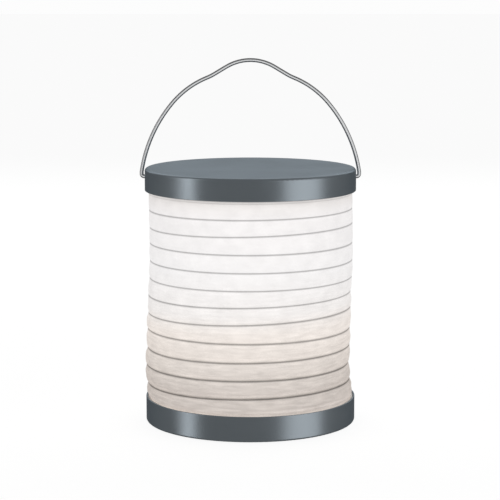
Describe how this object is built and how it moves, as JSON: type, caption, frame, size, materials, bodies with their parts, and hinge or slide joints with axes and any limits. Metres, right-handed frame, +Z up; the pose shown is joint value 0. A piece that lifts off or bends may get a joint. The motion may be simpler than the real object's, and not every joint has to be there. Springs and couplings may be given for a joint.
{
  "type": "accordion paper lantern",
  "caption": "Round hanging or table lantern: an accordion paper sleeve on wire hoops between a metal lid and base, with a wire bail and a battery lamp under the lid.",
  "frame": {"origin": "centre of the plane that the rubber feet stand on", "axes": "+Z up along the lantern's axis, +X along the bail's pivot axis, front is -Y"},
  "size_m": [0.1572, 0.15, 0.2602],
  "materials": {
    "slate_paint": "satin slate grey metallic paint",
    "bright_wire": "bright drawn steel wire",
    "hoop_wire": "white coated steel wire",
    "sleeve_paper": "matt white translucent paper",
    "collar_plastic": "moulded white plastic",
    "clamp_band": "white coated steel strip",
    "foot_rubber": "matt moulded rubber",
    "bush_nylon": "grey nylon",
    "carrier_plastic": "moulded white plastic",
    "seal_rubber": "black moulded rubber",
    "zinc_steel": "bright zinc plated",
    "cell_jacket": "plain foil jacket",
    "contact_metal": "nickel plated spring strip",
    "board_laminate": "white solder mask",
    "led_package": "yellow phosphor in a white package",
    "diffuser_plastic": "frosted opal plastic",
    "switch_plastic": "black moulded plastic",
    "lead_red": "red soft insulation",
    "lead_black": "black soft insulation"
  },
  "bodies": {
    "base": {"base_pan": "slate_paint", "bottom_collar": "collar_plastic", "bottom_clamp": "clamp_band", "bottom_collar_nuts": "zinc_steel", "rubber_foot_1": "foot_rubber", "rubber_foot_2": "foot_rubber", "rubber_foot_3": "foot_rubber", "rubber_foot_4": "foot_rubber", "shade_sleeve": "sleeve_paper"},
    "hoop_01": {"shade_hoop_01": "hoop_wire"},
    "hoop_02": {"shade_hoop_02": "hoop_wire"},
    "hoop_03": {"shade_hoop_03": "hoop_wire"},
    "hoop_04": {"shade_hoop_04": "hoop_wire"},
    "hoop_05": {"shade_hoop_05": "hoop_wire"},
    "hoop_06": {"shade_hoop_06": "hoop_wire"},
    "hoop_07": {"shade_hoop_07": "hoop_wire"},
    "hoop_08": {"shade_hoop_08": "hoop_wire"},
    "hoop_09": {"shade_hoop_09": "hoop_wire"},
    "hoop_10": {"shade_hoop_10": "hoop_wire"},
    "hoop_11": {"shade_hoop_11": "hoop_wire"},
    "collar": {"top_collar": "collar_plastic", "top_clamp": "clamp_band"},
    "lid": {"lid_shell": "slate_paint", "pivot_bush_left": "bush_nylon", "pivot_bush_right": "bush_nylon", "lamp_carrier": "carrier_plastic", "carrier_nuts": "zinc_steel", "lid_seal": "seal_rubber", "battery_cell_1": "cell_jacket", "battery_cell_2": "cell_jacket", "battery_cell_3": "cell_jacket", "contact_plates": "contact_metal", "contact_springs": "contact_metal", "battery_door": "carrier_plastic", "battery_door_screws": "zinc_steel", "led_board": "board_laminate", "led_board_screws": "zinc_steel", "led_chips": "led_package", "diffuser": "diffuser_plastic", "switch_body": "switch_plastic", "lead_battery_plus": "lead_red", "lead_battery_minus": "lead_black", "lead_switch": "lead_black"},
    "bail": {"bail_handle": "bright_wire"},
    "knob": {"switch_knob": "switch_plastic"}
  },
  "joints": [
    {"name": "shade_fold", "type": "slide", "parent": "base", "child": "collar", "axis": [0, 0, 1], "range_m": [-0.1192, 0], "deforming": ["shade_sleeve"]},
    {"name": "hoop_slide_01", "type": "slide", "parent": "base", "child": "hoop_01", "axis": [0, 0, 1], "range_m": [-0.00936, 0]},
    {"name": "hoop_slide_02", "type": "slide", "parent": "base", "child": "hoop_02", "axis": [0, 0, 1], "range_m": [-0.01933, 0]},
    {"name": "hoop_slide_03", "type": "slide", "parent": "base", "child": "hoop_03", "axis": [0, 0, 1], "range_m": [-0.0293, 0]},
    {"name": "hoop_slide_04", "type": "slide", "parent": "base", "child": "hoop_04", "axis": [0, 0, 1], "range_m": [-0.03927, 0]},
    {"name": "hoop_slide_05", "type": "slide", "parent": "base", "child": "hoop_05", "axis": [0, 0, 1], "range_m": [-0.04925, 0]},
    {"name": "hoop_slide_06", "type": "slide", "parent": "base", "child": "hoop_06", "axis": [0, 0, 1], "range_m": [-0.05922, 0]},
    {"name": "hoop_slide_07", "type": "slide", "parent": "base", "child": "hoop_07", "axis": [0, 0, 1], "range_m": [-0.06919, 0]},
    {"name": "hoop_slide_08", "type": "slide", "parent": "base", "child": "hoop_08", "axis": [0, 0, 1], "range_m": [-0.07916, 0]},
    {"name": "hoop_slide_09", "type": "slide", "parent": "base", "child": "hoop_09", "axis": [0, 0, 1], "range_m": [-0.08913, 0]},
    {"name": "hoop_slide_10", "type": "slide", "parent": "base", "child": "hoop_10", "axis": [0, 0, 1], "range_m": [-0.0991, 0]},
    {"name": "hoop_slide_11", "type": "slide", "parent": "base", "child": "hoop_11", "axis": [0, 0, 1], "range_m": [-0.10907, 0]},
    {"name": "lid_lift", "type": "slide", "parent": "collar", "child": "lid", "axis": [0, 0, 1], "range_m": [0, 0.045]},
    {"name": "bail_swing", "type": "hinge", "parent": "lid", "child": "bail", "pos_m": [0, 0, 0.1765], "axis": [1, 0, 0], "range_deg": [-55, 55]},
    {"name": "switch_slide", "type": "slide", "parent": "lid", "child": "knob", "axis": [0, 1, 0], "range_m": [0, 0.003]}
  ],
  "couplings": [
    {"joint": "hoop_slide_01", "follows": "shade_fold", "ratio": 0.077703},
    {"joint": "hoop_slide_02", "follows": "shade_fold", "ratio": 0.16135},
    {"joint": "hoop_slide_03", "follows": "shade_fold", "ratio": 0.245},
    {"joint": "hoop_slide_04", "follows": "shade_fold", "ratio": 0.32865},
    {"joint": "hoop_slide_05", "follows": "shade_fold", "ratio": 0.4123},
    {"joint": "hoop_slide_06", "follows": "shade_fold", "ratio": 0.49595},
    {"joint": "hoop_slide_07", "follows": "shade_fold", "ratio": 0.57959},
    {"joint": "hoop_slide_08", "follows": "shade_fold", "ratio": 0.66324},
    {"joint": "hoop_slide_09", "follows": "shade_fold", "ratio": 0.74689},
    {"joint": "hoop_slide_10", "follows": "shade_fold", "ratio": 0.83054},
    {"joint": "hoop_slide_11", "follows": "shade_fold", "ratio": 0.91419}
  ]
}
